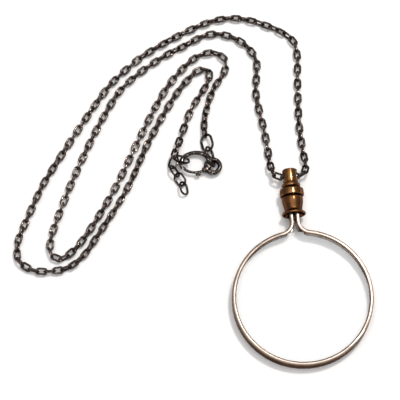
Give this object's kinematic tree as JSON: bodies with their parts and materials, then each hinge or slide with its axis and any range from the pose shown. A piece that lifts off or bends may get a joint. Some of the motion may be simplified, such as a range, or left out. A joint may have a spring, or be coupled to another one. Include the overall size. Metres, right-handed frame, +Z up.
{
  "type": "pendant magnifying glass",
  "caption": "Round reading lens in a thin channel band, held by a turned ferrule whose cross hole carries a long neck chain with a lobster clasp.",
  "frame": {"origin": "on the resting surface, under the middle of the glass and its ferrule taken together, chain left out", "axes": "+Z up from the surface the part lies on; +Y from the lens towards the chain end of the ferrule; +X to the right seen from above with the ferrule away from the viewer"},
  "size_m": [0.1308, 0.1445, 0.0093],
  "materials": {
    "lens_glass": "clear polished glass",
    "frame_silver": "warm silver plate over brass, polished lips, browned wall",
    "antique_brass": "antique brass, polished crests, dark patina in the grooves",
    "dark_bronze": "dark antique bronze plating, bright where it rubs",
    "steel": "plain drawn steel"
  },
  "bodies": {
    "chain": {"chain_left": "dark_bronze", "chain_right": "dark_bronze", "clasp_ring": "dark_bronze", "chain_end_ring": "dark_bronze", "extension_ring": "dark_bronze", "extension_link_1": "dark_bronze", "extension_link_2": "dark_bronze", "extension_link_3": "dark_bronze", "extension_link_4": "dark_bronze", "clasp_body": "dark_bronze", "clasp_spring": "steel", "clasp_pin": "steel"},
    "head": {"lens": "lens_glass", "frame_band": "frame_silver", "tang": "steel", "tang_rivet": "steel", "socket_bell": "antique_brass", "collar_ring": "antique_brass", "chain_barrel": "antique_brass"},
    "gate": {"clasp_gate": "dark_bronze"}
  },
  "joints": [
    {"name": "head_swing", "type": "hinge", "parent": "chain", "child": "head", "pos_m": [0, 0.03557, 0.00503], "axis": [-1, 0, 0], "range_deg": [0, 150]},
    {"name": "clasp_gate_turn", "type": "hinge", "parent": "chain", "child": "gate", "pos_m": [-0.03148, 0.04205, 0.0024], "axis": [0, 0, -1], "range_deg": [0, 15], "stiffness_Nm_per_rad": 0.01}
  ]
}
